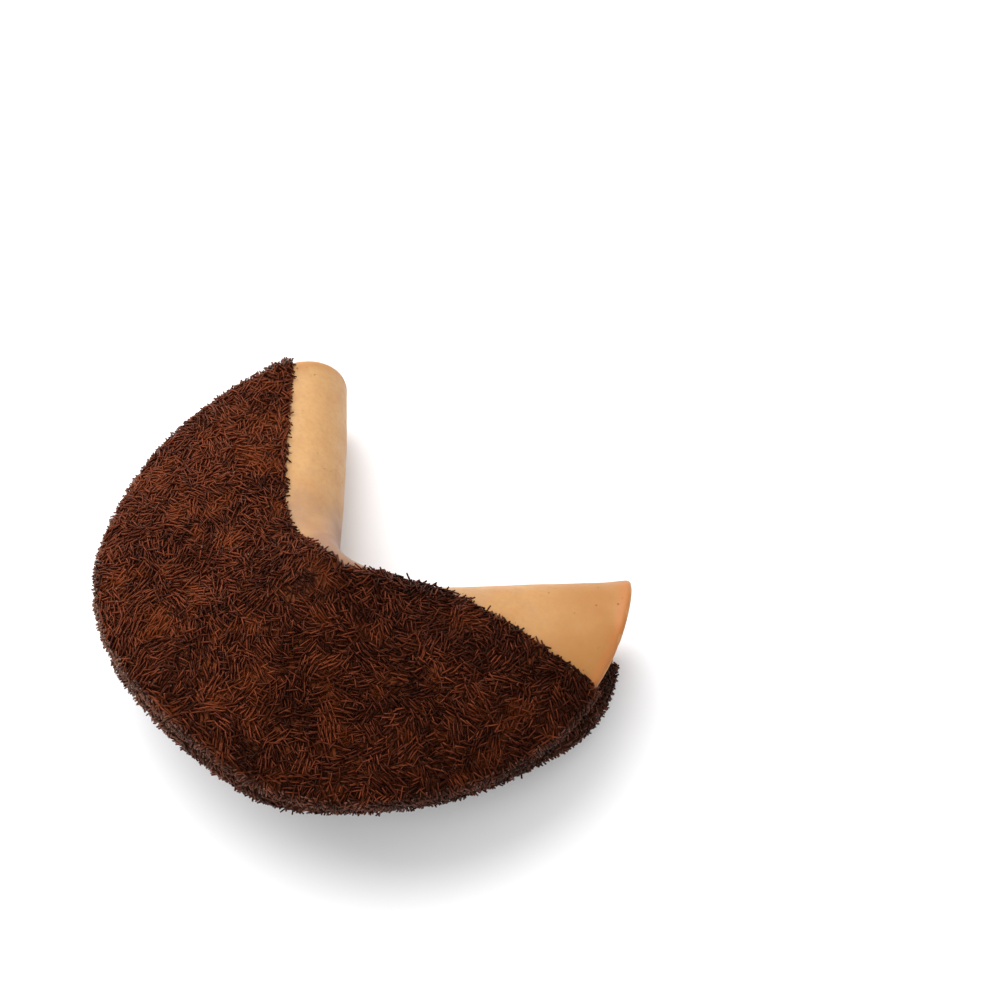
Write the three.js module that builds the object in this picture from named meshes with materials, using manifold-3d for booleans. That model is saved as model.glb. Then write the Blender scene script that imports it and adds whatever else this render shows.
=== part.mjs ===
// A giant fortune cookie. A round wafer is folded in half over a rounded fold, and the fold is then bent at
// its middle. That leaves two horns, a notch between them, and a pocket that opens all along the lips.
// Chocolate covers both faces and wraps round both lips, with chocolate sprinkles pressed into it. A band
// along the fold, where the cookie is held, stays bare. Millimetres, +Z up, the notch opens towards +Y.
//
// A point of the wafer is named by where it lay on the flat disc: `along` the fold, from its middle towards
// the +X horn, and `across` it, above zero on the upper face and below zero on the lower one.

import * as THREE from 'three';
import { mergeVertices } from 'three/addons/utils/BufferGeometryUtils.js';
import Module from 'manifold-3d';

const wasm = await Module();
wasm.setup();

// Wafer
const discRadius = 112;
const waferThickness = 3;
const lipRound = 0.6; // how far the lip bulges past the disc's edge
const lipShoulder = 1; // how far inside the disc's edge the lip starts to round
const lipFlat = 0.55; // share of the thickness that the round of the lip leaves upright
const bakeStretch = 1.035; // how much longer each face came out than the flat disc
const notchAngle = THREE.MathUtils.degToRad(75); // between the folds of the horns, at the notch
const kinkLength = 7.7; // along the fold, on each side of its middle, over which it bends
const hornCurl = 0.12; // radians by which a horn straightens again towards its tip
const fanLength = 82; // along the fold, over which the faces fan out round the bend

// Section across the fold: a wall at the notch, a roll, then a crowned flap down to the lip
const wallHeight = 23.8; // at the middle of the fold, nothing at the horns
const wallSpread = 21; // along the fold
const rollRadiusNotch = 7;
const rollRadiusHorn = 17.3;
const flapCrown = 0.6; // radians that a flap turns between roll and lip
const flapShortest = 19.4;
const flapSteepestUp = 0.6; // rise of a flap over its chord, at most
const flapSteepestDown = 0.95;
const lipHeightMiddle = 4.2; // of each lip's middle surface over the plane between the lips
const lipsLeft = { hornHeight: 21.7, lateness: 4.9 }; // and at the -X horn, and how late they part
const lipsRight = { hornHeight: 24.6, lateness: 5.4 };

// How much longer than that stretch each face came out, by place along the fold
const unevenAlong = [-112, -95, -70, -45, -20, 0, 18, 38, 58, 78, 95, 112];
const unevenUpper = [-0.1, -1.2, 0.1, 1.6, -1, -0.3, 0.4, 0.9, 1.3, 0.9, -1.2, -0.8];
const unevenLower = [0, -0.1, -0.2, -0.6, -1.7, -0.3, -0.3, -3.1, -2.8, -3.4, 1.2, 0.5];

// Chocolate
const coatGap = 0.3; // clear of the wafer
const coatThickness = 1.3;
const lipWrap = 9; // how far the chocolate reaches inside the lip
const bareHalfWidth = 13.5; // of the bare band at the notch
const bareExtraLeft = 19; // by which the band is wider on the -X horn
const bareNarrowsFrom = 4; // along the fold, where it narrows from the -X horn to the notch
const bareNarrowsTo = 22;
const bareRiseStart = 29; // along the fold, where the band starts to widen on the +X horn
const bareRiseUpper = 98; // how much it would widen over one disc radius past that, on the upper face
const bareRiseLower = 25;
const bareRisePower = 1.3;

// Sprinkles
const sprinkleLength = 5;
const sprinkleRadius = 0.55;
const sprinkleSides = 5;
const sprinkleCount = 80; // on each face
const sprinkleTries = 12; // random places looked at for each one
const sprinkleClear = 3.2; // from the bare band and from the lip
const sprinkleTilt = 0.12; // rise over run, at most
const sprinkleSeated = 0.08; // least share of a sprinkle that sits in the chocolate
const sprinkleSeed = 7;

// The cookie rests on the bulge beside the notch and on both horns, on small flat spots
const restTilt = THREE.MathUtils.degToRad(7.1); // lips up, horns down
const restRoll = THREE.MathUtils.degToRad(-0.47); // above zero the +X horn is down
const restFlat = 0.8; // how deep the flat spots cut into the chocolate

// Mesh
const foldStep = 0.5; // the fold line is stepped out by this
const foldOvershoot = 8; // and goes on this far past the disc's edge
const frameStep = 0.4; // over which slopes of the sheet are measured
const bandCutLift = 7; // the bare band is cut out from this far outside the wafer's middle surface
const bandCutDepth = 5; // to this far inside it
const bandCutOvershoot = 7; // and past both horns
const bandCutStations = 48;
const bandCutRows = 10;
const coatRoundAngles = [60, 20, -20, -60]; // degrees, round the lip
const discRings = 10;
const discSpokes = 72;
const ringCrowding = 1.15; // rings stand closer round the notch
const spokeCrowding = 0.3; // spokes stand closer along the fold

const halfBend = (Math.PI - notchAngle) / 2;
const coatLift = waferThickness / 2 + coatGap + coatThickness; // of its outside, over the middle surface

// The fold line, stepped out from its middle
const foldLine = [new THREE.Vector2(0, 0)];
for (let along = foldStep; along < discRadius + foldOvershoot; along += foldStep) {
  const middle = along - foldStep / 2;
  const heading = halfBend * Math.tanh(middle / kinkLength) - hornCurl * middle / discRadius;
  const step = new THREE.Vector2(Math.cos(heading), Math.sin(heading)).multiplyScalar(foldStep);
  foldLine.push(step.add(foldLine[foldLine.length - 1]));
}

function foldPoint(along) {
  const place = Math.abs(along) / foldStep;
  const index = Math.min(Math.floor(place), foldLine.length - 2);
  const point = foldLine[index].clone().lerp(foldLine[index + 1], place - index);
  return new THREE.Vector2(point.x * Math.sign(along), point.y);
}

// Run and rise of an arc whose direction turns evenly from one angle to another
function arcStep(length, from, to) {
  const turn = Math.abs(to - from) < 1e-6 ? 1e-6 : to - from;
  return {
    run: length * (Math.sin(from + turn) - Math.sin(from)) / turn,
    rise: length * (Math.cos(from) - Math.cos(from + turn)) / turn,
  };
}

// Slope in the middle of the flap that brings the lip to its height
function flapSlope(wall, roll, flap, lipHeight) {
  const chord = flap * Math.sin(flapCrown / 2) / (flapCrown / 2);
  let slope = -0.2;
  for (let i = 0; i < 8; i += 1) {
    const drop = wall + arcStep(roll, Math.PI / 2, slope + flapCrown / 2).rise - lipHeight;
    slope = -Math.asin(THREE.MathUtils.clamp(drop / chord, -flapSteepestUp, flapSteepestDown));
  }
  return slope;
}

// Stretch of one face at a place along the fold
function faceStretch(along, side) {
  const extras = side < 0 ? unevenLower : unevenUpper;
  const place = THREE.MathUtils.clamp(along, -discRadius, discRadius);
  const next = Math.max(unevenAlong.findIndex((knot) => knot >= place), 1);
  const blend = THREE.MathUtils.smoothstep(place, unevenAlong[next - 1], unevenAlong[next]);
  return bakeStretch * (1 + THREE.MathUtils.lerp(extras[next - 1], extras[next], blend) / discRadius);
}

// Where a point of the flat disc lies on the folded wafer's middle surface
function sheetPoint(along, across) {
  const side = across < 0 ? -1 : 1;
  const stretch = faceStretch(along, side);
  const reach = Math.abs(across) * stretch;
  const edge = Math.sqrt(Math.max(discRadius ** 2 - along ** 2, 0)) * stretch;

  const nearNotch = Math.exp(-((along / wallSpread) ** 2));
  const wall = wallHeight * nearNotch;
  const roll = THREE.MathUtils.lerp(rollRadiusHorn, rollRadiusNotch, nearNotch) * Math.PI / 2;
  const flap = Math.max(edge - wall - roll, flapShortest);
  const { hornHeight, lateness } = along < 0 ? lipsLeft : lipsRight;
  const towardsTip = Math.min(Math.abs(along) / discRadius, 1) ** lateness;
  const lipHeight = THREE.MathUtils.lerp(lipHeightMiddle, hornHeight, towardsTip);
  const slope = flapSlope(wall, roll, flap, lipHeight);

  const onRoll = THREE.MathUtils.clamp(reach - wall, 0, roll);
  const onFlap = Math.max(reach - wall - roll, 0);
  const start = slope + flapCrown / 2;
  const rolled = arcStep(onRoll, Math.PI / 2, Math.PI / 2 + (start - Math.PI / 2) * onRoll / roll);
  const flapped = arcStep(onFlap, start, start - flapCrown * onFlap / flap);
  const run = rolled.run + flapped.run;
  const rise = Math.min(reach, wall) + rolled.rise + flapped.rise;

  const full = Math.tanh(discRadius / fanLength);
  const fan = halfBend * Math.tanh(along / fanLength) / full - hornCurl * along / discRadius;
  const fold = foldPoint(along);
  return new THREE.Vector3(fold.x + Math.sin(fan) * run, fold.y - Math.cos(fan) * run, side * rise);
}

// Outward normal and the directions along and across the fold, on the folded wafer
function sheetFrame(along, across) {
  const slope = (from, to) => to.sub(from).normalize();
  const alongDir = slope(sheetPoint(along - frameStep, across), sheetPoint(along + frameStep, across));
  const acrossDir = slope(sheetPoint(along, across - frameStep), sheetPoint(along, across + frameStep));
  const normal = acrossDir.clone().cross(alongDir).normalize();
  return { alongDir, acrossDir, normal };
}

function liftedPoint(along, across, lift) {
  return sheetPoint(along, across).addScaledVector(sheetFrame(along, across).normal, lift);
}

function indexedGeometry(points, faces) {
  const geometry = new THREE.BufferGeometry();
  geometry.setAttribute('position', new THREE.Float32BufferAttribute(points.flatMap((p) => p.toArray()), 3));
  geometry.setIndex(faces.flat());
  return geometry;
}

// A closed skin over the whole disc. Its section runs from the middle of the disc out over the lip and back
// in to the middle, as pairs of distance from the middle and height over the middle surface.
function discSkin(section) {
  const points = [liftedPoint(0, 0, section[0][1])];
  const inner = section.slice(1, -1);
  for (const [distance, lift] of inner) {
    for (let k = 0; k < discSpokes; k += 1) {
      const even = 2 * Math.PI * k / discSpokes;
      const angle = even - spokeCrowding / 2 * Math.sin(2 * even);
      points.push(liftedPoint(distance * Math.cos(angle), distance * Math.sin(angle), lift));
    }
  }
  points.push(liftedPoint(0, 0, section[section.length - 1][1]));

  const faces = [];
  const last = points.length - 1;
  for (let k = 0; k < discSpokes; k += 1) {
    const next = (k + 1) % discSpokes;
    faces.push([0, 1 + next, 1 + k]);
    for (let ring = 0; ring < inner.length - 1; ring += 1) {
      const here = 1 + ring * discSpokes;
      const there = here + discSpokes;
      faces.push([here + k, here + next, there + k], [here + next, there + next, there + k]);
    }
    const end = last - discSpokes;
    faces.push([end + k, end + next, last]);
  }
  return indexedGeometry(points, faces);
}

// Distances of the rings from the middle of the disc out to a given radius
function ringDistances(outermost) {
  return Array.from({ length: discRings + 1 }, (_, ring) => outermost * (ring / discRings) ** ringCrowding);
}

// Section of a plain skin: up one side of the middle surface, round the lip and back down the other
function skinSection(halfThickness, overhang) {
  const outwards = ringDistances(discRadius - lipShoulder);
  return [
    ...outwards.map((distance) => [distance, halfThickness]),
    [discRadius + overhang, halfThickness * lipFlat],
    [discRadius + overhang, -halfThickness * lipFlat],
    ...outwards.toReversed().map((distance) => [distance, -halfThickness]),
  ];
}

// Section of the chocolate before the wafer is cut out of it
function coatSection() {
  const round = coatRoundAngles.map((degrees) => {
    const angle = THREE.MathUtils.degToRad(degrees);
    return [discRadius + coatLift * Math.cos(angle), coatLift * Math.sin(angle)];
  });
  return [
    ...ringDistances(discRadius).map((distance) => [distance, coatLift]),
    ...round,
    [discRadius, -coatLift],
    [discRadius - lipWrap, -coatLift],
    ...ringDistances(discRadius - lipWrap).toReversed().map((distance) => [distance, 0]),
  ];
}

// How far the bare band reaches on one face at a place along the fold
function bareReach(along, side) {
  const onLeft = 1 - THREE.MathUtils.smoothstep(along, bareNarrowsFrom, bareNarrowsTo);
  const past = Math.max(along - bareRiseStart, 0) / discRadius;
  const rise = side < 0 ? bareRiseLower : bareRiseUpper;
  return bareHalfWidth + bareExtraLeft * onLeft + rise * past ** bareRisePower;
}

function toManifold(geometry) {
  const bare = geometry.clone();
  bare.deleteAttribute('normal');
  bare.deleteAttribute('uv');
  const merged = mergeVertices(bare, 1e-4);
  return new wasm.Manifold(new wasm.Mesh({
    numProp: 3,
    vertProperties: new Float32Array(merged.attributes.position.array),
    triVerts: new Uint32Array(merged.index.array),
  }));
}

function fromManifold(solid) {
  const mesh = solid.getMesh();
  const geometry = new THREE.BufferGeometry();
  geometry.setAttribute('position', new THREE.BufferAttribute(mesh.vertProperties, 3));
  geometry.setIndex(new THREE.BufferAttribute(mesh.triVerts, 1));
  return geometry;
}

// A closed slab through the wafer that holds the whole bare band, and reaches past both horns
function bareBand() {
  const reach = discRadius + bandCutOvershoot;
  const stations = bandCutStations;
  const rows = bandCutRows;
  const points = [];
  const index = (level, i, j) => (level * (stations + 1) + i) * (rows + 1) + j;
  for (const lift of [bandCutLift, -bandCutDepth]) {
    for (let i = 0; i <= stations; i += 1) {
      const along = reach * (2 * i / stations - 1);
      for (let j = 0; j <= rows; j += 1) {
        const share = 2 * j / rows - 1;
        points.push(liftedPoint(along, bareReach(along, share) * share, lift));
      }
    }
  }
  const faces = [];
  const quad = (a, b, c, d) => faces.push([a, b, c], [a, c, d]);
  for (let i = 0; i < stations; i += 1) {
    for (let j = 0; j < rows; j += 1) {
      quad(index(0, i, j), index(0, i, j + 1), index(0, i + 1, j + 1), index(0, i + 1, j));
      quad(index(1, i, j), index(1, i + 1, j), index(1, i + 1, j + 1), index(1, i, j + 1));
    }
    quad(index(0, i, 0), index(0, i + 1, 0), index(1, i + 1, 0), index(1, i, 0));
    quad(index(0, i, rows), index(1, i, rows), index(1, i + 1, rows), index(0, i + 1, rows));
  }
  for (let j = 0; j < rows; j += 1) {
    quad(index(0, 0, j), index(1, 0, j), index(1, 0, j + 1), index(0, 0, j + 1));
    quad(index(0, stations, j), index(0, stations, j + 1), index(1, stations, j + 1), index(1, stations, j));
  }
  return indexedGeometry(points, faces);
}

// Small seeded generator, so that every build draws the same sprinkles
function seededRandom(seed) {
  let state = seed;
  return () => {
    state = (state + 0x6d2b79f5) | 0;
    let mixed = Math.imul(state ^ (state >>> 15), 1 | state);
    mixed = (mixed + Math.imul(mixed ^ (mixed >>> 7), 61 | mixed)) ^ mixed;
    return ((mixed ^ (mixed >>> 14)) >>> 0) / 4294967296;
  };
}

// Evenly spread places on one coated face: of a few random tries, the one farthest from the rest is kept
function sprinklePlaces(side, random) {
  const places = [];
  const randomPlace = () => {
    for (;;) {
      const along = discRadius * (2 * random() - 1);
      const across = discRadius * random();
      const onFace = Math.hypot(along, across) < discRadius - sprinkleClear;
      const onCoat = across > bareReach(along, side) + sprinkleClear;
      if (onFace && onCoat) return new THREE.Vector2(along, side * across);
    }
  };
  while (places.length < sprinkleCount) {
    let best = randomPlace();
    let bestRoom = -1;
    for (let i = 0; i < sprinkleTries; i += 1) {
      const tried = randomPlace();
      const room = Math.min(discRadius, ...places.map((place) => place.distanceTo(tried)));
      if (room > bestRoom) {
        best = tried;
        bestRoom = room;
      }
    }
    places.push(best);
  }
  return places;
}

// One sprinkle, half sunk in the chocolate
function sprinkle(place, random) {
  const { alongDir, acrossDir, normal } = sheetFrame(place.x, place.y);
  const turn = Math.PI * random();
  const tilt = sprinkleTilt * (2 * random() - 1);
  const lie = alongDir.multiplyScalar(Math.cos(turn)).addScaledVector(acrossDir, Math.sin(turn));
  lie.addScaledVector(normal, tilt).normalize();
  const straight = sprinkleLength - 2 * sprinkleRadius;
  const rod = new THREE.CapsuleGeometry(sprinkleRadius, straight, 1, sprinkleSides);
  rod.applyQuaternion(new THREE.Quaternion().setFromUnitVectors(new THREE.Vector3(0, 1, 0), lie));
  const centre = liftedPoint(place.x, place.y, coatLift);
  return rod.translate(centre.x, centre.y, centre.z);
}

// The chocolate of both faces, which the bare band parts into an upper and a lower piece
function chocolateHalves() {
  const grownWafer = skinSection(waferThickness / 2 + coatGap, lipRound + coatGap);
  const coat = toManifold(discSkin(coatSection()))
    .subtract(toManifold(discSkin(grownWafer)))
    .subtract(toManifold(bareBand()));
  const middleHeight = (piece) => piece.boundingBox().max[2] + piece.boundingBox().min[2];
  const halves = coat.decompose().sort((a, b) => middleHeight(b) - middleHeight(a));
  return { upper: halves[0], lower: halves[halves.length - 1] };
}

// The few sprinkles that would hardly touch, where a facet lies under the true surface, are left off
function withSprinkles(half, side) {
  const random = seededRandom(sprinkleSeed + side);
  return sprinklePlaces(side, random)
    .map((place) => toManifold(sprinkle(place, random)))
    .filter((rod) => rod.intersect(half).volume() > sprinkleSeated * rod.volume())
    .reduce((joined, rod) => joined.add(rod), half);
}

const cookie = new THREE.Group();
cookie.rotation.set(-restTilt, restRoll, 0);
cookie.updateMatrixWorld(true);

const wafer = toManifold(discSkin(skinSection(waferThickness / 2, lipRound)));
const chocolate = chocolateHalves();
const solids = {
  wafer,
  chocolate_upper: withSprinkles(chocolate.upper, 1),
  chocolate_lower: withSprinkles(chocolate.lower, -1),
};

// Height of the lowest point of a solid once the cookie lies as it rests
function lowestPoint(solid) {
  const geometry = fromManifold(solid).applyMatrix4(cookie.matrixWorld);
  geometry.computeBoundingBox();
  return geometry.boundingBox.min.z;
}

// Everything under the surface that the cookie rests on, in the cookie's own frame
const restHeight = Math.min(lowestPoint(wafer), lowestPoint(chocolate.lower)) + restFlat;
const below = new THREE.BoxGeometry(4 * discRadius, 4 * discRadius, discRadius);
below.translate(0, 0, restHeight - discRadius / 2);
below.applyMatrix4(cookie.matrixWorld.clone().invert());
const belowSurface = toManifold(below);

const bakedWafer = { color: 0xdcae72, roughness: 0.6, metalness: 0 };
const darkChocolate = { color: 0x4a2a1a, roughness: 0.5, metalness: 0 };

for (const [name, solid] of Object.entries(solids)) {
  const look = new THREE.MeshStandardMaterial(name === 'wafer' ? bakedWafer : darkChocolate);
  const mesh = new THREE.Mesh(fromManifold(solid.subtract(belowSurface)), look);
  mesh.name = name;
  cookie.add(mesh);
}

// The origin is under the middle of the cookie, on the surface it rests on
cookie.updateMatrixWorld(true);
const box = new THREE.Box3().setFromObject(cookie, true);
const centre = box.getCenter(new THREE.Vector3());
cookie.position.set(-centre.x, -centre.y, -restHeight);

export default cookie;
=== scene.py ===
import math

import bpy
import numpy as np
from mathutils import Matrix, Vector, noise


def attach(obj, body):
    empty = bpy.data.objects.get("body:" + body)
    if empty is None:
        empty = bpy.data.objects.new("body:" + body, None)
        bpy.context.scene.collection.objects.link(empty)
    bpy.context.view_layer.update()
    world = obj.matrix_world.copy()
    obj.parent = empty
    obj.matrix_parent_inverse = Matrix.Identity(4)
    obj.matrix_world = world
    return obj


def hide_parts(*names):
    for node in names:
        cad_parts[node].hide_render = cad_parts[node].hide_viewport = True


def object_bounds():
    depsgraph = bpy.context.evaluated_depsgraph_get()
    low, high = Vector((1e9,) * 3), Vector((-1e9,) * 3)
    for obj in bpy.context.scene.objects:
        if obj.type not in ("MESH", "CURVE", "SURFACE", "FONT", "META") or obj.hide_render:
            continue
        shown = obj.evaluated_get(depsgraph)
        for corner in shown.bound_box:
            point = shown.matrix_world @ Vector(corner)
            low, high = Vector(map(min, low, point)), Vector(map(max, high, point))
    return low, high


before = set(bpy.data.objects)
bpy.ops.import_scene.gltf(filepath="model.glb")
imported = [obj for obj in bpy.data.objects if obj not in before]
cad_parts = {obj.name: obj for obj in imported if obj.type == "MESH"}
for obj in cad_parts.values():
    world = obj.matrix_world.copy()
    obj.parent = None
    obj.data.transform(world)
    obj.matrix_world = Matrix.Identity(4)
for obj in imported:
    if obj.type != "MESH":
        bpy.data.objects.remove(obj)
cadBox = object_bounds()
print("frame loaded")

# Everything is in metres once it is placed. The form below is in millimetres and radians, on the flat disc
# that the wafer was folded from: along the fold towards the +X horn, and across it, above zero on the
# upper face.
foldForm = {
    "discRadius": 112.0,
    "bakeStretch": 1.035,
    "notchAngle": math.radians(75),
    "kinkLength": 7.7,           # over which the fold line turns at the notch
    "hornCurl": 0.12,
    "fanLength": 82.0,           # over which the flaps fan out on each side of it
    "wallHeight": 23.8,          # of the wall between the fold line and the roll, at the notch
    "wallSpread": 21.0,
    "rollRadiusNotch": 7.0,
    "rollRadiusHorn": 17.3,
    "flapCrown": 0.6,
    "flapShortest": 19.4,
    "flapSteepestUp": 0.6,
    "flapSteepestDown": 0.95,
    "slopeGuess": -0.2,
    "slopeRounds": 8,
    "lipHeightMiddle": 4.2,
    "lipsLeft": (21.7, 4.9),     # height at the horn, and how late the lips part
    "lipsRight": (24.6, 5.4),
}

# What each face gained on the even stretch, in millimetres, by place along the fold
unevenFaces = {
    "along": (-112, -95, -70, -45, -20, 0, 18, 38, 58, 78, 95, 112),
    "upper": (-0.1, -1.2, 0.1, 1.6, -1.0, -0.3, 0.4, 0.9, 1.3, 0.9, -1.2, -0.8),
    "lower": (0.0, -0.1, -0.2, -0.6, -1.7, -0.3, -0.3, -3.1, -2.8, -3.4, 1.2, 0.5),
}

# How the folded cookie lies on its surface
restPlace = {
    "tiltDegrees": -7.1,
    "rollDegrees": -0.47,
    "foldMiddle": (-0.2682, 1.9368, 30.7600),
}

halfBend = (math.pi - foldForm["notchAngle"]) / 2


def foldLineTable():
    # the fold line's course in short steps, to a little past the rim
    step, past = 0.25, 10
    alongs = np.arange(0, foldForm["discRadius"] + past, step)
    middles = alongs[:-1] + step / 2
    headings = (halfBend * np.tanh(middles / foldForm["kinkLength"])
                - foldForm["hornCurl"] * middles / foldForm["discRadius"])
    xs = np.concatenate([[0], np.cumsum(np.cos(headings) * step)])
    ys = np.concatenate([[0], np.cumsum(np.sin(headings) * step)])
    return alongs, xs, ys


foldAlongs, foldXs, foldYs = foldLineTable()


def arcStep(length, start, end):
    # run and rise of an arc whose slope goes evenly from start to end
    tiny = 1e-6
    turn = np.where(np.abs(end - start) < tiny, tiny, end - start)
    run = length * (np.sin(start + turn) - np.sin(start)) / turn
    rise = length * (np.cos(start) - np.cos(start + turn)) / turn
    return run, rise


def eased(share):
    # from 0 to 1 with a soft start and end
    return share * share * (3 - 2 * share)


def faceStretch(along, side):
    knots = np.array(unevenFaces["along"], float)
    extras = np.array([unevenFaces["upper"], unevenFaces["lower"]])
    place = np.clip(along, knots[0], knots[-1])
    after = np.clip(np.searchsorted(knots, place), 1, len(knots) - 1)
    share = eased((place - knots[after - 1]) / (knots[after] - knots[after - 1]))
    face = np.where(side < 0, 1, 0)
    extra = extras[face, after - 1] + (extras[face, after] - extras[face, after - 1]) * share
    return foldForm["bakeStretch"] * (1 + extra / foldForm["discRadius"])


def sheetPlace(along, across):
    # from the fold line a wall rises, rolls over and runs out as a flap down to the lip
    f = foldForm
    along, across = np.broadcast_arrays(np.asarray(along, float), np.asarray(across, float))
    side = np.where(across < 0, -1.0, 1.0)
    stretch = faceStretch(along, side)
    reach = np.abs(across) * stretch
    edge = np.sqrt(np.maximum(f["discRadius"] ** 2 - along ** 2, 0)) * stretch

    nearNotch = np.exp(-(along / f["wallSpread"]) ** 2)
    wall = f["wallHeight"] * nearNotch
    roll = (f["rollRadiusHorn"] + (f["rollRadiusNotch"] - f["rollRadiusHorn"]) * nearNotch) * math.pi / 2
    flap = np.maximum(edge - wall - roll, f["flapShortest"])
    hornHeight = np.where(along < 0, f["lipsLeft"][0], f["lipsRight"][0])
    lateness = np.where(along < 0, f["lipsLeft"][1], f["lipsRight"][1])
    towardsTip = np.minimum(np.abs(along) / f["discRadius"], 1) ** lateness
    lipHeight = f["lipHeightMiddle"] + (hornHeight - f["lipHeightMiddle"]) * towardsTip

    # the slope that brings the flap's lip down to its height, found in a few rounds
    chord = flap * math.sin(f["flapCrown"] / 2) / (f["flapCrown"] / 2)
    slope = np.full(along.shape, f["slopeGuess"])
    for _ in range(f["slopeRounds"]):
        drop = wall + arcStep(roll, math.pi / 2, slope + f["flapCrown"] / 2)[1] - lipHeight
        slope = -np.arcsin(np.clip(drop / chord, -f["flapSteepestUp"], f["flapSteepestDown"]))

    onRoll = np.clip(reach - wall, 0, roll)
    onFlap = np.maximum(reach - wall - roll, 0)
    start = slope + f["flapCrown"] / 2
    rollRun, rollRise = arcStep(onRoll, math.pi / 2, math.pi / 2 + (start - math.pi / 2) * onRoll / roll)
    flapRun, flapRise = arcStep(onFlap, start, start - f["flapCrown"] * onFlap / flap)
    run = rollRun + flapRun
    rise = np.minimum(reach, wall) + rollRise + flapRise

    full = math.tanh(f["discRadius"] / f["fanLength"])
    fan = halfBend * np.tanh(along / f["fanLength"]) / full - f["hornCurl"] * along / f["discRadius"]
    foldX = np.interp(np.abs(along), foldAlongs, foldXs) * np.sign(along)
    foldY = np.interp(np.abs(along), foldAlongs, foldYs)
    return np.stack([foldX + np.sin(fan) * run, foldY - np.cos(fan) * run, side * rise], axis=-1)


def unit(vectors):
    return vectors / np.maximum(np.linalg.norm(vectors, axis=-1, keepdims=True), 1e-12)


def sheetNormal(along, across):
    step = 0.4
    alongDir = unit(sheetPlace(along + step, across) - sheetPlace(along - step, across))
    acrossDir = unit(sheetPlace(along, across + step) - sheetPlace(along, across - step))
    return unit(np.cross(acrossDir, alongDir))


tilt = math.radians(restPlace["tiltDegrees"])
turn = math.radians(restPlace["rollDegrees"])
restTurn = np.array([
    [math.cos(turn), 0, math.sin(turn)],
    [math.sin(tilt) * math.sin(turn), math.cos(tilt), -math.sin(tilt) * math.cos(turn)],
    [-math.cos(tilt) * math.sin(turn), math.sin(tilt), math.cos(tilt) * math.cos(turn)],
])


def liftedPlace(along, across, lift):
    local = sheetPlace(along, across) + sheetNormal(along, across) * np.asarray(lift)[..., None]
    return (local @ restTurn.T + np.array(restPlace["foldMiddle"])) / 1000


def keptInBox(points):
    margin = 2e-5
    return np.clip(points, np.array(cadBox[0]) + margin, np.array(cadBox[1]) - margin)


def lumps(points, size, octaves=2):
    # soft unevenness between about -1 and 1, at the given size in metres
    return np.array([noise.fractal(Vector(p) / size, 1.0, 2.0, octaves) for p in points])


def makeMesh(name, points, faces):
    mesh = bpy.data.meshes.new(name)
    mesh.from_pydata([tuple(p) for p in points], [], faces)
    mesh.validate()
    mesh.polygons.foreach_set("use_smooth", [True] * len(mesh.polygons))
    mesh.update()
    piece = bpy.data.objects.new(name, mesh)
    bpy.context.scene.collection.objects.link(piece)
    return piece


def pointValues(piece, name, values):
    layer = piece.data.attributes.new(name, "FLOAT", "POINT")
    layer.data.foreach_set("value", np.asarray(values, np.float32).ravel())


# Helpers for the materials; paint is the material's node tree
def newMaterial(name):
    material = bpy.data.materials.new(name)
    material.use_nodes = True
    return material, material.node_tree, material.node_tree.nodes["Principled BSDF"]


def addNode(paint, kind, **inputs):
    node = paint.nodes.new(kind)
    for name, value in inputs.items():
        node.inputs[name].default_value = value
    return node


def objectPlace(paint):
    return addNode(paint, "ShaderNodeTexCoord").outputs["Object"]


def sidewaysPlace(paint, place):
    node = addNode(paint, "ShaderNodeSeparateXYZ")
    paint.links.new(place, node.inputs[0])
    return node.outputs["X"]


def meshValue(paint, name):
    node = addNode(paint, "ShaderNodeAttribute")
    node.attribute_name = name
    return node.outputs["Fac"]


def noiseNode(paint, place, size, detail=3.0, roughness=0.5):
    # size in metres
    node = addNode(paint, "ShaderNodeTexNoise", Scale=1 / size, Detail=detail, Roughness=roughness)
    paint.links.new(place, node.inputs["Vector"])
    return node.outputs[0]


def rampNode(paint, value, stops):
    # stops are pairs of place and colour
    node = addNode(paint, "ShaderNodeValToRGB")
    ramp = node.color_ramp
    while len(ramp.elements) < len(stops):
        ramp.elements.new(0.5)
    for element, (at, colour) in zip(ramp.elements, stops):
        element.position = at
        element.color = (*colour, 1)
    paint.links.new(value, node.inputs["Fac"])
    return node.outputs["Color"]


def mixColour(paint, share, first, second):
    node = addNode(paint, "ShaderNodeMix")
    node.data_type = "RGBA"
    sockets = [s for s in node.inputs if s.enabled]
    for socket, value in zip(sockets, (share, first, second)):
        if isinstance(value, bpy.types.NodeSocket):
            paint.links.new(value, socket)
        else:
            socket.default_value = (*value, 1)
    return next(s for s in node.outputs if s.enabled)


def rangeNode(paint, value, fromLow, fromHigh, toLow, toHigh):
    node = addNode(paint, "ShaderNodeMapRange")
    limits = {"From Min": fromLow, "From Max": fromHigh, "To Min": toLow, "To Max": toHigh}
    for name, number in limits.items():
        node.inputs[name].default_value = number
    paint.links.new(value, node.inputs["Value"])
    return node.outputs["Result"]


def noiseTo(paint, value, low, high):
    # most of a noise lies between 0.3 and 0.7
    return rangeNode(paint, value, 0.3, 0.7, low, high)


def mathNode(paint, kind, first, second):
    node = addNode(paint, "ShaderNodeMath")
    node.operation = kind
    for socket, value in zip(node.inputs, (first, second)):
        if isinstance(value, bpy.types.NodeSocket):
            paint.links.new(value, socket)
        else:
            socket.default_value = value
    return node.outputs[0]


def bumpNode(paint, height, distance, strength, below=None):
    node = addNode(paint, "ShaderNodeBump", Distance=distance, Strength=strength)
    paint.links.new(height, node.inputs["Height"])
    if below is not None:
        paint.links.new(below, node.inputs["Normal"])
    return node.outputs["Normal"]


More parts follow.
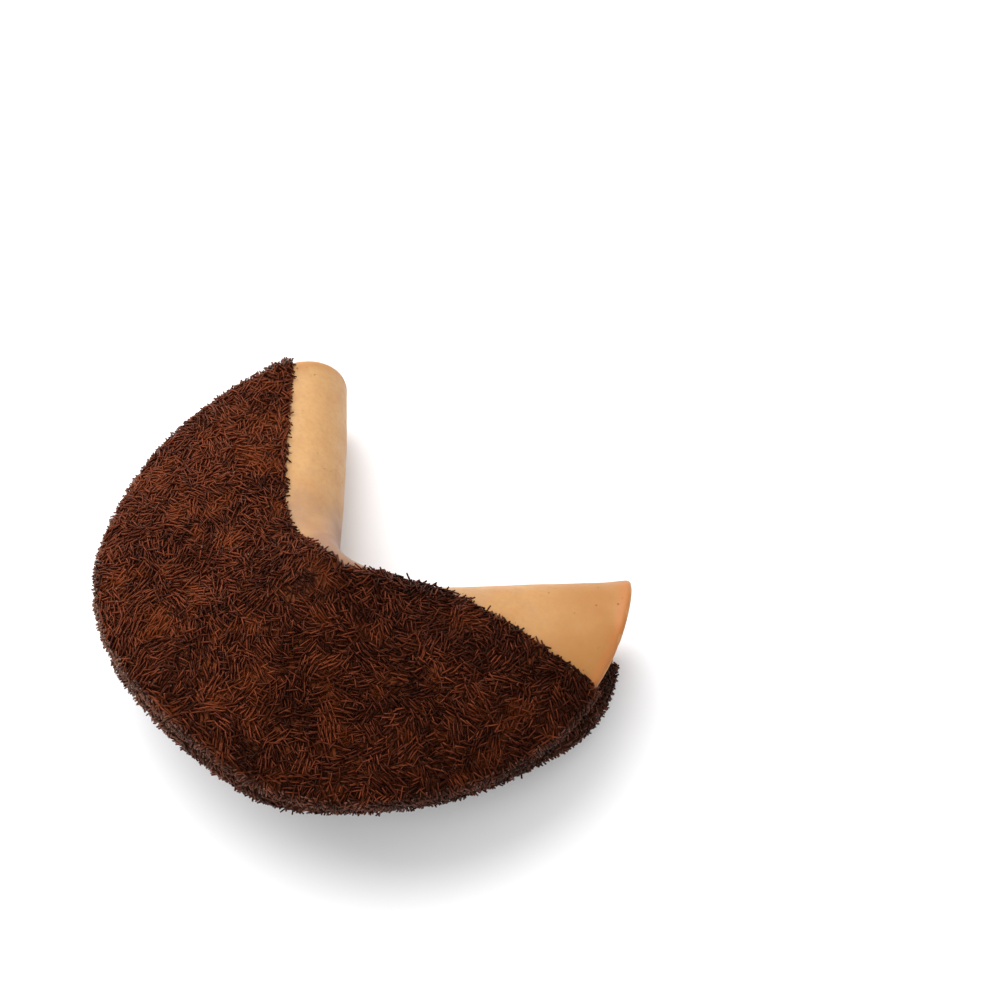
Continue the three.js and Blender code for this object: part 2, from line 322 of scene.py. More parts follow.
# The wafer. Its form is in millimetres, its patterns are in metres.
waferLook = {
    "thickness": 3.0,
    "rings": 68,
    "spokes": 244,
    "ringCrowding": 1.1,
    "spokeCrowding": 0.3,
    "rimInset": 1.0,
    "rimRound": 0.6,
    "rimFullness": 0.8,
    "rimSteps": 5,
    "rimBand": 14.0,          # over which its colour turns to the rim's
    "swell": 0.18,            # unevenness of the outside
    "swellSize": 0.016,
    "cloudSize": 0.030,       # of the broadest changes of colour
    "cloudShift": 0.22,
    "blotchSize": 0.009,
    "grainSize": 0.0016,
    "goldenFrom": 0.025,      # X at which light tan starts to turn golden
    "goldenTo": 0.085,
    "pinkShadeFade": (0.1, 0.52),  # shares of the way to the horn
    "rimFade": (0.66, 0.86),  # shares of the way through the rim's band
    "rimWobble": 0.06,
    "rimShare": 0.85,
    "edgeShare": 0.5,
    "mottle": 0.28,
    "speckle": 0.30,
    "pitSpacing": 0.0032,
    "pitPatches": 0.012,
    "pitStrength": 0.55,
    # pinker than the rest and darker, with painted shade for the notch
    "pinkWithShade": (0.245, 0.135, 0.082),
    "lightTan": (0.478, 0.268, 0.106),
    "golden": (0.32, 0.136, 0.029),
    "toasted": (0.32, 0.135, 0.043),
    "rimTan": (0.44, 0.215, 0.075),
    "rimOrange": (0.36, 0.120, 0.025),
    "pitBrown": (0.12, 0.05, 0.02),
    "roughness": (0.44, 0.60),
    "blotchBump": (0.0006, 0.35),    # depth and strength
    "grainBump": (0.00018, 0.5),
    "pitBump": (0.0006, 0.8),
    "gloss": 0.3,
    "depthShare": 0.12,       # of the light that goes in under the surface
    "depth": 0.002,
    "depthTint": (1.0, 0.5, 0.2),
}


def waferMaterial(look):
    material, paint, shader = newMaterial("bakedWafer")
    place = objectPlace(paint)
    broad = noiseNode(paint, place, look["cloudSize"], 3, 0.55)
    blotch = noiseNode(paint, place, look["blotchSize"], 4, 0.6)
    grain = noiseNode(paint, place, look["grainSize"], 3, 0.6)

    # pinker and darker by the notch, a real pink tone with painted shade, light on the -X horn and golden on
    # the +X one
    broadShift = noiseTo(paint, broad, -look["cloudShift"], look["cloudShift"])
    hornward = mathNode(paint, "ADD", meshValue(paint, "towardsHorn"), broadShift)
    right = rangeNode(paint, sidewaysPlace(paint, place), look["goldenFrom"], look["goldenTo"], 0.0, 1.0)
    right = rangeNode(paint, mathNode(paint, "ADD", right, broadShift), 0.0, 1.0, 0.0, 1.0)
    horn = mixColour(paint, right, look["lightTan"], look["golden"])
    rim = mixColour(paint, right, look["rimTan"], look["rimOrange"])
    colour = mixColour(paint, rangeNode(paint, hornward, *look["pinkShadeFade"], 0.0, 1.0), look["pinkWithShade"], horn)
    mottle = rangeNode(paint, blotch, 0.45, 0.70, 0.0, look["mottle"])
    colour = mixColour(paint, mottle, colour, look["toasted"])

    # the rim's own colour, with a light line on the very edge
    wobble = noiseTo(paint, blotch, -look["rimWobble"], look["rimWobble"])
    atRim = mathNode(paint, "ADD", meshValue(paint, "towardsRim"), wobble)
    colour = mixColour(paint, rangeNode(paint, atRim, *look["rimFade"], 0.0, look["rimShare"]), colour, rim)
    onEdge = rangeNode(paint, atRim, 1.0, 1.04, 0.0, look["edgeShare"])
    colour = mixColour(paint, onEdge, colour, look["lightTan"])
    speckle = rangeNode(paint, grain, 0.45, 0.75, 0.0, look["speckle"])
    colour = mixColour(paint, speckle, colour, look["toasted"])

    # tiny baked pits, only here and there
    cells = addNode(paint, "ShaderNodeTexVoronoi", Scale=1 / look["pitSpacing"], Randomness=1.0)
    paint.links.new(place, cells.inputs["Vector"])
    pits = rangeNode(paint, cells.outputs["Distance"], 0.05, 0.13, 1.0, 0.0)
    pitted = rangeNode(paint, noiseNode(paint, place, look["pitPatches"], 2), 0.54, 0.64, 0.0, 1.0)
    pits = mathNode(paint, "MULTIPLY", pits, pitted)
    pitStain = mathNode(paint, "MULTIPLY", pits, look["pitStrength"])
    colour = mixColour(paint, pitStain, colour, look["pitBrown"])
    paint.links.new(colour, shader.inputs["Base Color"])

    paint.links.new(noiseTo(paint, blotch, *look["roughness"]), shader.inputs["Roughness"])
    shader.inputs["Specular IOR Level"].default_value = look["gloss"]
    shader.inputs["Subsurface Weight"].default_value = look["depthShare"]
    shader.inputs["Subsurface Radius"].default_value = look["depthTint"]
    shader.inputs["Subsurface Scale"].default_value = look["depth"]
    normal = bumpNode(paint, blotch, *look["blotchBump"])
    normal = bumpNode(paint, grain, *look["grainBump"], normal)
    normal = bumpNode(paint, mathNode(paint, "MULTIPLY", pits, -1.0), *look["pitBump"], normal)
    paint.links.new(normal, shader.inputs["Normal"])
    return material


def makeWafer(look):
    # the half section from the upper skin's middle round the rim to the lower skin's middle, turned by spokes
    radius = foldForm["discRadius"]
    half = look["thickness"] / 2
    section = [(radius * (k / look["rings"]) ** look["ringCrowding"], half) for k in range(look["rings"])]
    inner = [(distance, -lift) for distance, lift in reversed(section)]
    for k in range(look["rimSteps"] + 1):
        angle = math.pi * (0.5 - k / look["rimSteps"])
        bulge = (look["rimInset"] + look["rimRound"]) * math.cos(angle) ** look["rimFullness"]
        section.append((radius - look["rimInset"] + bulge, half * math.sin(angle)))
    section += inner

    even = 2 * math.pi * np.arange(look["spokes"]) / look["spokes"]
    angles = even - look["spokeCrowding"] / 2 * np.sin(2 * even)
    distances = np.array([d for d, _ in section[1:-1]])[:, None]
    lifts = np.array([h for _, h in section[1:-1]])[:, None] + 0 * angles[None, :]
    along = distances * np.cos(angles)[None, :]
    across = distances * np.sin(angles)[None, :]
    points = liftedPlace(along, across, lifts).reshape(-1, 3)
    ends = liftedPlace(np.zeros(2), np.zeros(2), np.array([half, -half]))
    points = np.concatenate([ends[:1], points, ends[1:]])
    allAlong = np.concatenate([[0], along.ravel(), [0]])
    allAcross = np.concatenate([[0], across.ravel(), [0]])
    allDistance = np.concatenate([[0], np.repeat(distances.ravel(), look["spokes"]), [0]])
    allLift = np.concatenate([[half], lifts.ravel(), [-half]])

    # both skins swell together, so that the wafer keeps its thickness
    normals = sheetNormal(allAlong, allAcross) @ restTurn.T
    middle = points - normals * allLift[:, None] / 1000
    swell = lumps(middle, look["swellSize"]) * look["swell"] / 1000
    points = keptInBox(points + normals * swell[:, None])

    n = look["spokes"]
    rows = len(section) - 2
    last = len(points) - 1
    faces = []
    for k in range(n):
        after = (k + 1) % n
        faces.append((0, 1 + after, 1 + k))
        for row in range(rows - 1):
            here, there = 1 + row * n, 1 + (row + 1) * n
            faces.append((here + k, here + after, there + after, there + k))
        end = last - n
        faces.append((end + k, end + after, last))
    piece = makeMesh("waferSkin", points, faces)
    pointValues(piece, "towardsRim", np.maximum(1 - (radius - allDistance) / look["rimBand"], 0))
    pointValues(piece, "towardsHorn", np.abs(allAlong) / radius)
    piece.data.materials.append(waferMaterial(look))
    print("wafer made,", len(piece.data.polygons), "faces")
    return piece


# The band along the fold that stays bare, in millimetres on the flat disc
bareBand = {
    "halfWidth": 13.5,
    "extraLeft": 19.0,
    "narrowsFrom": 4.0,
    "narrowsTo": 22.0,
    "riseStart": 29.0,
    "riseUpper": 98.0,
    "riseLower": 25.0,
    "risePower": 1.3,
}


def bareReach(along, side):
    # how far the bare band goes across, from the fold
    b = bareBand
    onLeft = 1 - eased(np.clip((along - b["narrowsFrom"]) / (b["narrowsTo"] - b["narrowsFrom"]), 0, 1))
    past = np.maximum(along - b["riseStart"], 0) / foldForm["discRadius"]
    rise = b["riseUpper"] if side > 0 else b["riseLower"]
    return b["halfWidth"] + b["extraLeft"] * onLeft + rise * past ** b["risePower"]


def bandEnds(side):
    # rim angles at which the bare band runs out over the lip
    radius, margin, steps = foldForm["discRadius"], 0.02, 6001
    angles = np.linspace(margin, math.pi - margin, steps)
    covered = radius * np.sin(angles) > bareReach(radius * np.cos(angles), side)
    return angles[covered][0], angles[covered][-1]


# The chocolate coat. Its form is in millimetres, its patterns are in metres.
coatLook = {
    "thickness": 0.7,
    "overlap": 0.05,          # of its thin edge with the wafer's skin
    "sunk": 0.6,              # lift of its hidden inside, within the wafer
    "backInset": 2.5,         # of that inside, from the rim
    "backRows": (0.6, 0.3, 0.0),     # its rows on the way back to the bare band
    "lumpHeight": 0.22,
    "lumpSize": 0.0055,
    "edgeWander": 0.9,        # of the line along the bare band
    "edgeWanderSize": 5.5,
    "edgeRound": 1.6,         # over which an edge thins out
    "leastStep": 0.2,
    "lipWrap": 9.0,           # how far it goes on round the lip
    "wrapWander": 2.2,
    "wrapWanderSize": 7.0,
    "spokes": 264,
    "rings": 46,
    "ringCrowding": 0.9,
    "lipSteps": 9,
    "wrapSteps": 7,
    "fadeRows": 5,            # over which the lip's colour comes in
    "cloudSize": 0.016,
    "grainSize": 0.0022,
    "brown": (0.035, 0.0078, 0.0026),
    "paleBrown": (0.170, 0.038, 0.0085),
    "lipBrown": (0.022, 0.0052, 0.0022),
    "darkGrain": 0.5,         # share of brown in the finest grain
    "roughness": (0.38, 0.56),
    "bump": (0.0004, 0.5),    # depth and strength
    "gloss": 0.10,
    "glossTint": (1.0, 0.62, 0.42),
}


def coatMaterial(look):
    material, paint, shader = newMaterial("chocolateCoat")
    place = objectPlace(paint)
    broad = noiseNode(paint, place, look["cloudSize"], 3, 0.6)
    fine = noiseNode(paint, place, look["grainSize"], 4, 0.6)
    colour = rampNode(paint, broad, [(0.36, look["brown"]), (0.60, look["paleBrown"])])
    grain = rangeNode(paint, fine, 0.35, 0.7, 0.0, look["darkGrain"])
    colour = mixColour(paint, grain, colour, look["brown"])
    colour = mixColour(paint, meshValue(paint, "towardsLip"), colour, look["lipBrown"])
    paint.links.new(colour, shader.inputs["Base Color"])
    paint.links.new(noiseTo(paint, fine, *look["roughness"]), shader.inputs["Roughness"])
    paint.links.new(bumpNode(paint, fine, *look["bump"]), shader.inputs["Normal"])
    shader.inputs["Specular IOR Level"].default_value = look["gloss"]
    shader.inputs["Specular Tint"].default_value = (*look["glossTint"], 1)
    return material


def makeCoat(name, side, look, material):
    # columns run across the disc from the bare band to the lip, then round the lip along the disc's radius
    radius = foldForm["discRadius"]
    half = waferLook["thickness"] / 2
    n = look["spokes"]
    first, last = bandEnds(side)
    angles = np.linspace(first, last, n)
    lipAlong, lipAcross = radius * np.cos(angles), radius * np.sin(angles)
    full = np.ones(n)

    def wander(size, *lane):
        # its own lane for each line, so that no two wander alike
        return np.array([noise.fractal(Vector((a * radius / size, *lane)), 1.0, 2.0, 3) for a in angles])

    def surfaceLift(fromEdge):
        # rounded off where the coat thins out
        return half - look["overlap"] + look["thickness"] * np.sqrt(np.clip(1 - (1 - fromEdge) ** 2, 0, 1))

    rows = []          # (along, across, lift, how much of the lumps it takes)
    start = bareReach(lipAlong, side) + look["edgeWander"] * wander(look["edgeWanderSize"], side * 9.0, 0)
    start = np.minimum(start, lipAcross - look["leastStep"])
    for k in range(look["rings"] + 1):
        across = start + (lipAcross - start) * (k / look["rings"]) ** look["ringCrowding"]
        past = np.clip((across - start) / look["edgeRound"], 0, 1)
        rows.append((lipAlong, across, surfaceLift(past), past))

    def atRim(distance, lift, share):
        scale = distance / radius
        rows.append((lipAlong * scale, lipAcross * scale, lift, share))

    outer = half + look["thickness"]
    for k in range(1, look["lipSteps"]):
        angle = math.pi * (0.5 - k / look["lipSteps"])
        atRim((radius + outer * math.cos(angle)) * full, outer * math.sin(angle) * full, full)
    wrapEnd = radius - look["lipWrap"] + look["wrapWander"] * wander(look["wrapWanderSize"], 30.0, side * 5.0)
    for k in range(look["wrapSteps"] + 1):
        distance = radius + (wrapEnd - radius) * k / look["wrapSteps"]
        left = np.clip((distance - wrapEnd) / look["edgeRound"], 0, 1)
        atRim(distance, -surfaceLift(left), left)
    outerRows = len(rows)

    # the hidden way back runs inside the wafer
    back = radius - look["backInset"]
    atRim(wrapEnd + look["leastStep"], -look["sunk"] * full, 0 * full)
    atRim(back * full, -look["sunk"] * full, 0 * full)
    atRim(back * full, look["sunk"] * full, 0 * full)
    furthest = lipAcross * (back - 0.1) / radius
    for share in look["backRows"]:
        inland = start + look["leastStep"] + (lipAcross - start) * share
        inland = np.minimum(inland, furthest)
        rows.append((lipAlong, inland, look["sunk"] * full, 0 * full))

    along = np.array([r[0] for r in rows])
    across = side * np.array([r[1] for r in rows])
    lifts = np.array([r[2] for r in rows])
    shares = np.array([r[3] for r in rows])
    points = liftedPlace(along, across, lifts)
    normals = sheetNormal(along, across) @ restTurn.T
    bumps = lumps(points.reshape(-1, 3), look["lumpSize"], 3).reshape(lifts.shape)
    bumps = bumps * look["lumpHeight"] * shares / 1000
    points = keptInBox(points + normals * (bumps * np.sign(lifts))[..., None]).reshape(-1, 3)

    count = len(rows)
    faces = []
    for k in range(n - 1):
        for row in range(count):
            here, there = row * n, (row + 1) % count * n
            faces.append((here + k, here + k + 1, there + k + 1, there + k))
    faces.append(tuple(row * n for row in range(count)))
    faces.append(tuple((count - 1 - row) * n + n - 1 for row in range(count)))
    if side < 0:
        faces = [tuple(reversed(face)) for face in faces]
    piece = makeMesh(name, points, faces)
    towardsLip = np.clip((np.arange(count) - look["rings"]) / look["fadeRows"] + 1, 0, 1)
    pointValues(piece, "towardsLip", np.repeat(towardsLip, n))
    piece.data.materials.append(material)

    # the open faces that the sprinkles are pressed into
    def patch(patchName, firstRow, lastRow):
        wanted = [f for i, f in enumerate(faces[:-2]) if firstRow <= i % count < lastRow]
        return makeMesh(patchName, points, wanted)

    outside = patch(name + "Outside", 0, look["rings"])
    lip = patch(name + "Lip", look["rings"], outerRows - 1)
    print(name, "made,", len(piece.data.polygons), "faces")
    return piece, outside, lip


# The sprinkles, in metres
sprinkleLook = {
    "length": 0.0047,
    "lengths": (0.68, 1.14),            # shortest and longest, as shares of it
    "radius": 0.00037,
    "radii": (0.86, 1.14),
    "bend": 0.00008,
    "taper": 0.14,
    "sides": 5,
    "segments": 2,
    "clusterSize": 0.0076,              # over which neighbours lie the same way
    "clusterLoose": 0.18,               # radians by which one strays from its neighbours
    "clusterShade": 0.45,               # by which one cluster differs from the next
    "layersApart": 0.013,
    "strays": 0.16,                     # share that lie any way
    "rolled": 0.5,                      # radians by which one is turned about itself
    "patchesPerMetre": 70.0,
    "patchFrom": 0.56,
    "patchTo": 0.70,
    "patchBare": 0.38,                  # share that is missing in thin patches
    "dark": (0.0100, 0.0014, 0.0005),
    "usual": (0.037, 0.0048, 0.0012),
    "pale": (0.083, 0.0125, 0.0034),
    "rusty": (0.150, 0.0290, 0.0062),
    "paintedHighlight": (0.240, 0.076, 0.036),    # painted highlight along the ridge that stands out
    "paintedSheen": (0.210, 0.140, 0.105),     # painted grey sheen, for light on cut ends, and all over at the lip
    "toneStops": (0.05, 0.62, 1.0),     # where dark, usual and pale lie
    "toneSize": 0.02,
    "toneDrift": 0.2,
    "paintedLightAcross": (0.16, -0.38),        # partly painted light and shade, partly real tone: lighter towards -X, darker towards +X
    "paintedLightReach": 0.09,                  # X at which that is full
    "grainSize": 0.0007,
    "paleGrain": 0.3,
    "rustSize": 0.013,
    "rustShare": 0.62,
    "rightShare": 0.4,                  # share of rust and painted sheen that remains on the +X side
    "highlightShare": (0.05, 0.90),        # for dark and for pale ones
    "roughness": (0.24, 0.42),
    "bump": (0.00010, 0.4),             # depth and strength
    "gloss": 0.08,
    "glossTint": (1.0, 0.60, 0.42),
    "seed": 11,
}


def sprinkleMaterial(look):
    material, paint, shader = newMaterial("chocolateSprinkles")
    place = objectPlace(paint)
    sideways = sidewaysPlace(paint, place)
    fine = noiseNode(paint, place, look["grainSize"], 3)

    # one tone for each sprinkle, which drifts over the cookie
    clouds = noiseNode(paint, place, look["toneSize"], 2)
    tone = meshValue(paint, "shade")
    tone = mathNode(paint, "ADD", tone, noiseTo(paint, clouds, -look["toneDrift"], look["toneDrift"]))
    # lighter towards -X and darker towards +X: partly painted light and shade, partly real tone
    reach = look["paintedLightReach"]
    tone = mathNode(paint, "ADD", tone, rangeNode(paint, sideways, -reach, reach, *look["paintedLightAcross"]))
    stops = list(zip(look["toneStops"], (look["dark"], look["usual"], look["pale"])))
    colour = rampNode(paint, tone, stops)
    colour = mixColour(paint, rangeNode(paint, fine, 0.5, 0.8, 0.0, look["paleGrain"]), colour, look["pale"])

    # rusty patches, mostly on the -X side
    rust = noiseNode(paint, place, look["rustSize"], 3, 0.6)
    rust = rangeNode(paint, rust, 0.52, 0.66, 0.0, look["rustShare"])
    onLeft = rangeNode(paint, sideways, -0.04, 0.03, 1.0, look["rightShare"])
    rust = mathNode(paint, "MULTIPLY", rust, onLeft)
    colour = mixColour(paint, rust, colour, look["rusty"])

    # painted highlight along each rod's top ridge, and a painted grey sheen where the scatter marks it
    # painted highlight: lighter along the ridge that faces out from the coat
    paintedHighlight = rangeNode(paint, meshValue(paint, "ridge"), 0.72, 1.0, 0.0, 1.0)
    paintedHighlight = mathNode(paint, "MULTIPLY", paintedHighlight, rangeNode(paint, tone, 0.2, 1.0, *look["highlightShare"]))
    colour = mixColour(paint, paintedHighlight, colour, look["paintedHighlight"])
    # painted grey sheen, for light on cut ends and on the lip's sprinkles
    paintedSheen = mathNode(paint, "MULTIPLY", meshValue(paint, "sheenMark"), rangeNode(paint, tone, 0.0, 1.0, 0.2, 1.0))
    onLeft = rangeNode(paint, sideways, -0.03, 0.03, 1.0, look["rightShare"])
    paintedSheen = mathNode(paint, "MULTIPLY", paintedSheen, onLeft)
    colour = mixColour(paint, paintedSheen, colour, look["paintedSheen"])

    paint.links.new(colour, shader.inputs["Base Color"])
    paint.links.new(noiseTo(paint, fine, *look["roughness"]), shader.inputs["Roughness"])
    paint.links.new(bumpNode(paint, fine, *look["bump"]), shader.inputs["Normal"])
    shader.inputs["Specular IOR Level"].default_value = look["gloss"]
    shader.inputs["Specular Tint"].default_value = (*look["glossTint"], 1)
    return material


def scatterTree(look, material):
    tree = bpy.data.node_groups.new("pressedSprinkles", "GeometryNodeTree")
    tree.is_modifier = True
    tree.interface.new_socket("Face", in_out="INPUT", socket_type="NodeSocketGeometry")
    tree.interface.new_socket("Sprinkles", in_out="OUTPUT", socket_type="NodeSocketGeometry")
    inputs = {
        "Float": ("Spacing", "Most per square metre", "Length", "Radius", "Bend", "Lift low", "Lift high",
                  "Tilt", "Cluster size", "Cluster loose", "Strays", "Patch bare", "Shade low", "Shade high",
                  "Sheen on ends", "Sheen on sides"),
        "Vector": ("Low corner", "High corner"),
        "Int": ("Seed",),
    }
    for kind, names in inputs.items():
        for name in names:
            tree.interface.new_socket(name, in_out="INPUT", socket_type="NodeSocket" + kind)
    nodes, links = tree.nodes, tree.links
    given = nodes.new("NodeGroupInput").outputs
    result = nodes.new("NodeGroupOutput")

    def wire(socket, value):
        if isinstance(value, bpy.types.NodeSocket):
            links.new(value, socket)
        else:
            socket.default_value = value

    def make(kind, settings=None, **values):
        node = nodes.new(kind)
        for key, value in (settings or {}).items():
            setattr(node, key, value)
        for key, value in values.items():
            name = key.replace("_", " ")
            wire(next(s for s in node.inputs if s.name == name and s.enabled), value)
        return node

    def maths(operation, first, second=0.0):
        node = make("ShaderNodeMath", {"operation": operation})
        wire(node.inputs[0], first)
        wire(node.inputs[1], second)
        return node.outputs[0]

    def vectorMaths(operation, first, second=None, scale=None):
        node = make("ShaderNodeVectorMath", {"operation": operation})
        links.new(first, node.inputs[0])
        if second is not None:
            links.new(second, node.inputs[1])
        if scale is not None:
            links.new(scale, node.inputs["Scale"])
        return node.outputs["Value"] if operation == "DISTANCE" else node.outputs["Vector"]

    # each random value has a draw of its own, which keeps it apart from the others
    draws = {"lift": 3, "loose": 7, "stray": 9, "strayWay": 13, "lean": 17, "roll": 19, "radius": 23,
             "length": 29, "shade": 31}

    def randomValue(low, high, use):
        node = make("FunctionNodeRandomValue", {"data_type": "FLOAT"}, Min=low, Max=high,
                    Seed=maths("ADD", given["Seed"], draws[use]))
        return next(s for s in node.outputs if s.enabled)

    def eitherWay(most, use):
        return randomValue(maths("MULTIPLY", most, -1.0), most, use)

    def store(geometry, name, domain, value):
        node = make("GeometryNodeStoreNamedAttribute", {"data_type": "FLOAT", "domain": domain},
                    Geometry=geometry, Name=name, Value=value)
        return node.outputs["Geometry"]

    position = nodes.new("GeometryNodeInputPosition").outputs[0]

    # points on the face, fewer in thin patches, where the coat shows
    patchNoise = make("ShaderNodeTexNoise", None, Vector=position, Scale=look["patchesPerMetre"], Detail=2.0)
    patch = make("ShaderNodeMapRange", None, Value=patchNoise.outputs[0], From_Min=look["patchFrom"],
                 From_Max=look["patchTo"], To_Min=1.0, To_Max=maths("SUBTRACT", 1.0, given["Patch bare"]))
    spread = make("GeometryNodeDistributePointsOnFaces", {"distribute_method": "POISSON"},
                  Mesh=given["Face"], Distance_Min=given["Spacing"],
                  Density_Max=given["Most per square metre"], Density_Factor=patch.outputs["Result"],
                  Seed=given["Seed"])

    # each lies at its own height over the coat, and none is centred out of the solids' box
    lift = randomValue(given["Lift low"], given["Lift high"], "lift")
    raised = make("GeometryNodeSetPosition", None, Geometry=spread.outputs["Points"],
                  Offset=vectorMaths("SCALE", spread.outputs["Normal"], scale=lift))
    inside = vectorMaths("MAXIMUM", position, given["Low corner"])
    inside = vectorMaths("MINIMUM", inside, given["High corner"])
    outOfBox = maths("GREATER_THAN", vectorMaths("DISTANCE", position, inside), 1e-6)
    kept = make("GeometryNodeDeleteGeometry", {"domain": "POINT"}, Geometry=raised.outputs["Geometry"],
                Selection=outOfBox)

    # one sprinkle: a rod that is bent in its own Y, thinner at the ends, with its ridge on the +X side, where
    # the highlight is painted
    rod = make("GeometryNodeMeshCylinder", None, Vertices=look["sides"], Side_Segments=look["segments"],
               Radius=given["Radius"], Depth=given["Length"])
    onRod = make("ShaderNodeSeparateXYZ", None, Vector=position)
    halfLength = maths("MULTIPLY", given["Length"], 0.5)
    fromMiddle = maths("DIVIDE", maths("ABSOLUTE", onRod.outputs["Z"]), halfLength)
    bend = maths("SUBTRACT", 1.0, maths("MULTIPLY", fromMiddle, fromMiddle))
    bend = maths("MULTIPLY", bend, given["Bend"])
    taper = maths("MULTIPLY", fromMiddle, -look["taper"])
    ridge = maths("MAXIMUM", maths("DIVIDE", onRod.outputs["X"], given["Radius"]), 0.0)
    atEnd = maths("MAXIMUM", rod.outputs["Top"], rod.outputs["Bottom"])
    # marks where the painted grey sheen goes: on cut ends, and on the sides as each layer gives
    sheenMark = maths("MAXIMUM", maths("MULTIPLY", atEnd, given["Sheen on ends"]), given["Sheen on sides"])
    marked = store(rod.outputs["Mesh"], "ridge", "POINT", ridge)
    marked = store(marked, "sheenMark", "FACE", sheenMark)
    shift = make("ShaderNodeCombineXYZ", None, X=maths("MULTIPLY", onRod.outputs["X"], taper),
                 Y=maths("ADD", bend, maths("MULTIPLY", onRod.outputs["Y"], taper)))
    bent = make("GeometryNodeSetPosition", None, Geometry=marked, Offset=shift.outputs[0])
    smooth = make("GeometryNodeSetShadeSmooth", None, Geometry=bent.outputs["Geometry"],
                  Selection=rod.outputs["Side"])

    # the way it lies: small clusters side by side, each one in it a little off, and some strays;
    # the clusters of each layer lie elsewhere
    apart = make("ShaderNodeCombineXYZ", None, X=maths("MULTIPLY", given["Seed"], look["layersApart"]))
    cluster = make("ShaderNodeTexVoronoi", None, Vector=vectorMaths("ADD", position, apart.outputs[0]),
                   Scale=maths("DIVIDE", 1.0, given["Cluster size"]))
    clusterDraws = make("ShaderNodeSeparateXYZ", None, Vector=cluster.outputs["Color"])
    heading = maths("MULTIPLY", clusterDraws.outputs["X"], 2 * math.pi)
    heading = maths("ADD", heading, eitherWay(given["Cluster loose"], "loose"))
    isStray = maths("LESS_THAN", randomValue(0.0, 1.0, "stray"), given["Strays"])
    heading = maths("ADD", heading, maths("MULTIPLY", isStray, randomValue(0.0, math.pi, "strayWay")))
    lean = maths("SUBTRACT", eitherWay(given["Tilt"], "lean"), math.pi / 2)
    roll = randomValue(-look["rolled"], look["rolled"], "roll")
    lie = spread.outputs["Rotation"]
    for axis, angle in (((0, 0, 1), heading), ((0, 1, 0), lean), ((0, 0, 1), roll)):
        about = make("FunctionNodeAxisAngleToRotation", None, Axis=axis, Angle=angle)
        lie = make("FunctionNodeRotateRotation", {"rotation_space": "LOCAL"}, Rotation=lie,
                   Rotate_By=about.outputs[0]).outputs[0]
    radius = randomValue(*look["radii"], "radius")
    size = make("ShaderNodeCombineXYZ", None, X=radius, Y=radius, Z=randomValue(*look["lengths"], "length"))
    laid = make("GeometryNodeInstanceOnPoints", None, Points=kept.outputs["Geometry"],
                Instance=smooth.outputs["Geometry"], Rotation=lie, Scale=size.outputs[0])

    # tone from the layer's shade range and the cluster; a lower range paints shade on the deeper layers
    clusterShade = maths("SUBTRACT", clusterDraws.outputs["Y"], 0.5)
    clusterShade = maths("MULTIPLY", clusterShade, look["clusterShade"])
    shade = maths("ADD", randomValue(given["Shade low"], given["Shade high"], "shade"), clusterShade)
    shaded = store(laid.outputs["Instances"], "shade", "INSTANCE", shade)
    real = make("GeometryNodeRealizeInstances", None, Geometry=shaded)
    finished = make("GeometryNodeSetMaterial", None, Geometry=real.outputs["Geometry"], Material=material)
    links.new(finished.outputs["Geometry"], result.inputs[0])
    return tree


def scatterSprinkles(name, face, tree, layer, look):
    # layer holds what differs between the layers
    values = {
        "Length": look["length"] * layer["length"],
        "Radius": look["radius"],
        "Bend": look["bend"],
        "Cluster size": look["clusterSize"],
        "Cluster loose": look["clusterLoose"],
        "Strays": look["strays"],
        "Patch bare": look["patchBare"],
        "Low corner": tuple(Vector(cadBox[0]) + Vector(layer["inset"])),
        "High corner": tuple(Vector(cadBox[1]) - Vector(layer["inset"])),
        "Spacing": layer["spacing"],
        "Most per square metre": layer["most"],
        "Lift low": layer["lift"][0],
        "Lift high": layer["lift"][1],
        "Tilt": layer["tilt"],
        "Shade low": layer["shade"][0],
        "Shade high": layer["shade"][1],
        "Sheen on ends": layer["sheenMark"][0],
        "Sheen on sides": layer["sheenMark"][1],
        "Seed": look["seed"] + layer["seed"],
    }
    source = face.copy()
    source.data = face.data.copy()
    bpy.context.scene.collection.objects.link(source)
    modifier = source.modifiers.new("sprinkles", "NODES")
    modifier.node_group = tree
    for item in tree.interface.items_tree:
        if item.in_out == "INPUT" and item.name in values:
            modifier[item.identifier] = values[item.name]
    graph = bpy.context.evaluated_depsgraph_get()
    mesh = bpy.data.meshes.new_from_object(source.evaluated_get(graph), depsgraph=graph)
    mesh.name = name
    source.modifiers.remove(modifier)
    bpy.data.objects.remove(source)

    # one whose tip would still reach out of the box is pressed shorter or flatter about its own middle
    margin, flattest = 1e-5, 0.05
    places = np.empty(len(mesh.vertices) * 3)
    mesh.vertices.foreach_get("co", places)
    places = places.reshape(-1, look["sides"] * (look["segments"] + 1), 3)
    middle = places.mean(axis=1, keepdims=True)
    reach = places - middle
    fitsLow = (np.array(cadBox[0]) + margin - middle) / reach.min(axis=1, keepdims=True)
    fitsHigh = (np.array(cadBox[1]) - margin - middle) / reach.max(axis=1, keepdims=True)
    places = middle + reach * np.clip(np.minimum(fitsLow, fitsHigh), flattest, 1)
    mesh.vertices.foreach_set("co", places.ravel())
    mesh.update()
    piece = bpy.data.objects.new(name, mesh)
    bpy.context.scene.collection.objects.link(piece)
    perSprinkle = look["sides"] * look["segments"] + 2
    triangles = sum(len(p.vertices) - 2 for p in mesh.polygons)
    print(name, len(mesh.polygons) // perSprinkle, "sprinkles,", triangles, "triangles")
    return piece
